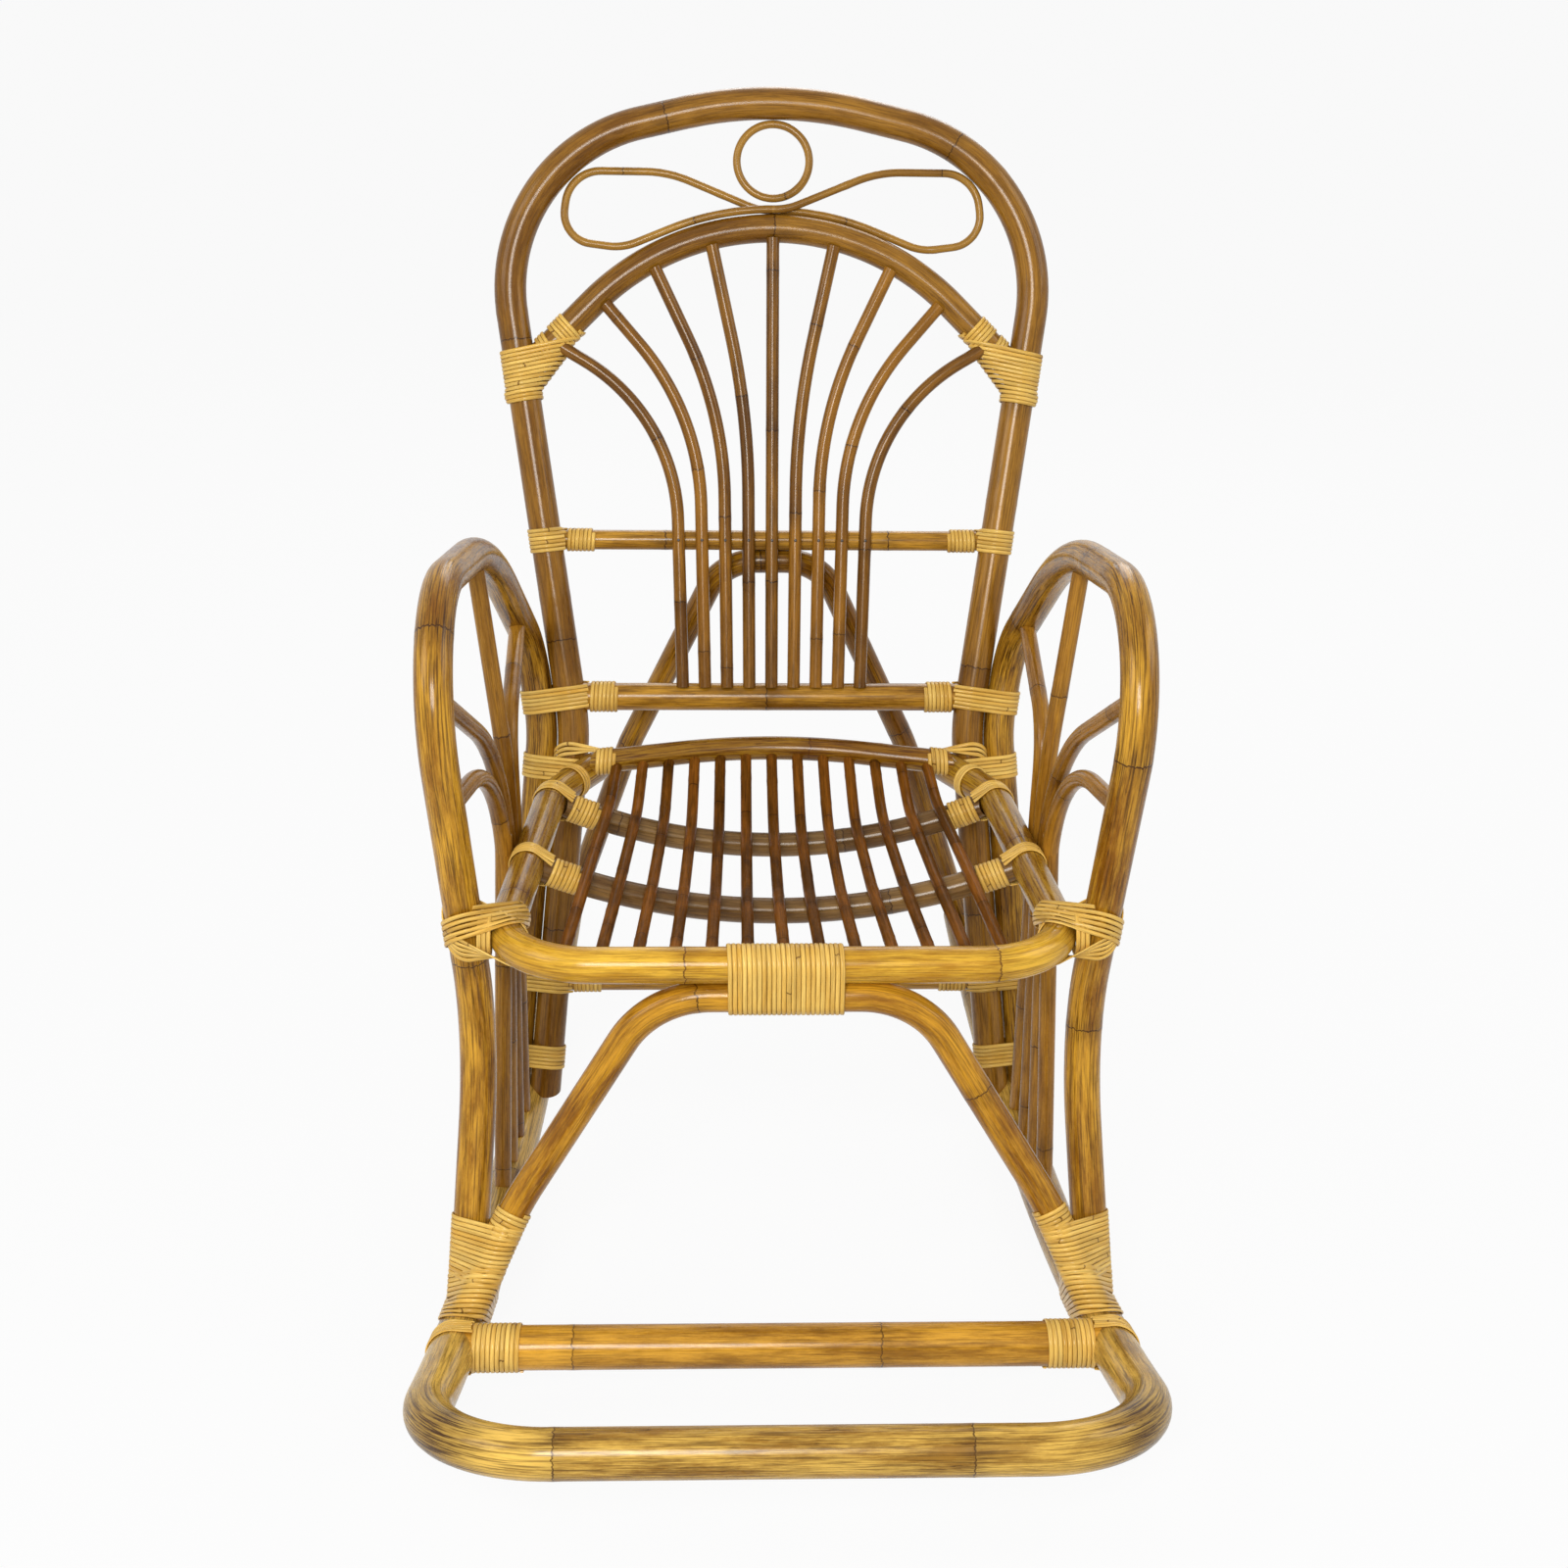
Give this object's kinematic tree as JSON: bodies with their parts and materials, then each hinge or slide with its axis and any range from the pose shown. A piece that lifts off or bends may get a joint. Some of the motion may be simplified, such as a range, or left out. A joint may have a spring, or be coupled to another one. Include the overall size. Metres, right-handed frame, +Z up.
{
  "type": "rocking chair",
  "caption": "Rattan rocking chair: bent cane poles form rockers, looped arms and a fanned spindle back with a scroll crown, over a dished slatted seat.",
  "frame": {"origin": "on the floor, under the middle of the chair's overall width and depth", "axes": "+X across the chair to the sitter's left, +Y to the rear, +Z up; the front of the chair faces -Y"},
  "size_m": [0.6154, 1.0256, 1.0108],
  "materials": {
    "base_pole": "varnished rattan pole, glossy, honey brown",
    "hoop_pole": "varnished rattan pole, glossy, honey brown shading to dark brown",
    "arch_pole": "varnished rattan pole, glossy, dark honey brown",
    "rail_pole": "varnished rattan pole, glossy, honey brown",
    "seat_pole": "varnished rattan pole, glossy, golden brown",
    "cross_bar_pole": "varnished rattan pole, glossy, grey brown",
    "brace_pole": "varnished rattan pole, glossy, golden brown",
    "spindle": "varnished thin rattan, satin, brown",
    "side_spindle": "varnished thin rattan, satin, dark brown",
    "slat": "varnished thin rattan, satin, dark red-brown",
    "thin_cane": "thin varnished cane, satin, light brown",
    "binding_cane": "peeled flat cane, satin, straw coloured",
    "nail": "dull steel, heads only"
  },
  "bodies": {
    "root": {"base_loop": "base_pole", "base_cross_bar": "base_pole", "left_side_hoop": "hoop_pole", "right_side_hoop": "hoop_pole", "back_hoop": "hoop_pole", "back_arch": "arch_pole", "back_scroll_ring": "thin_cane", "back_scroll_lobes": "thin_cane", "back_upper_rail": "rail_pole", "back_lower_rail": "rail_pole", "back_spindle_1": "spindle", "back_spindle_2": "spindle", "back_spindle_3": "spindle", "back_spindle_4": "spindle", "back_spindle_5": "spindle", "back_spindle_6": "spindle", "back_spindle_7": "spindle", "back_spindle_8": "spindle", "back_spindle_9": "spindle", "seat_frame": "seat_pole", "seat_back_rail": "seat_pole", "seat_cross_bar_front": "cross_bar_pole", "seat_cross_bar_rear": "cross_bar_pole", "seat_slat_1": "slat", "seat_slat_2": "slat", "seat_slat_3": "slat", "seat_slat_4": "slat", "seat_slat_5": "slat", "seat_slat_6": "slat", "seat_slat_7": "slat", "seat_slat_8": "slat", "seat_slat_9": "slat", "seat_slat_10": "slat", "seat_slat_11": "slat", "seat_slat_12": "slat", "seat_slat_13": "slat", "front_brace": "brace_pole", "rear_brace": "brace_pole", "rear_stretcher": "brace_pole", "left_side_spindle_1": "side_spindle", "left_side_spindle_2": "side_spindle", "left_side_spindle_3": "side_spindle", "left_side_spindle_4": "side_spindle", "right_side_spindle_1": "side_spindle", "right_side_spindle_2": "side_spindle", "right_side_spindle_3": "side_spindle", "right_side_spindle_4": "side_spindle", "front_wrap": "binding_cane", "arch_wraps": "binding_cane", "upper_rail_wraps": "binding_cane", "lower_rail_wraps": "binding_cane", "seat_rear_lashings": "binding_cane", "seat_front_lashings": "binding_cane", "cross_bar_wraps": "binding_cane", "foot_lashings": "binding_cane", "base_bar_wraps": "binding_cane", "stretcher_wraps": "binding_cane", "rear_foot_lashings": "binding_cane", "nails": "nail"}
  },
  "joints": []
}
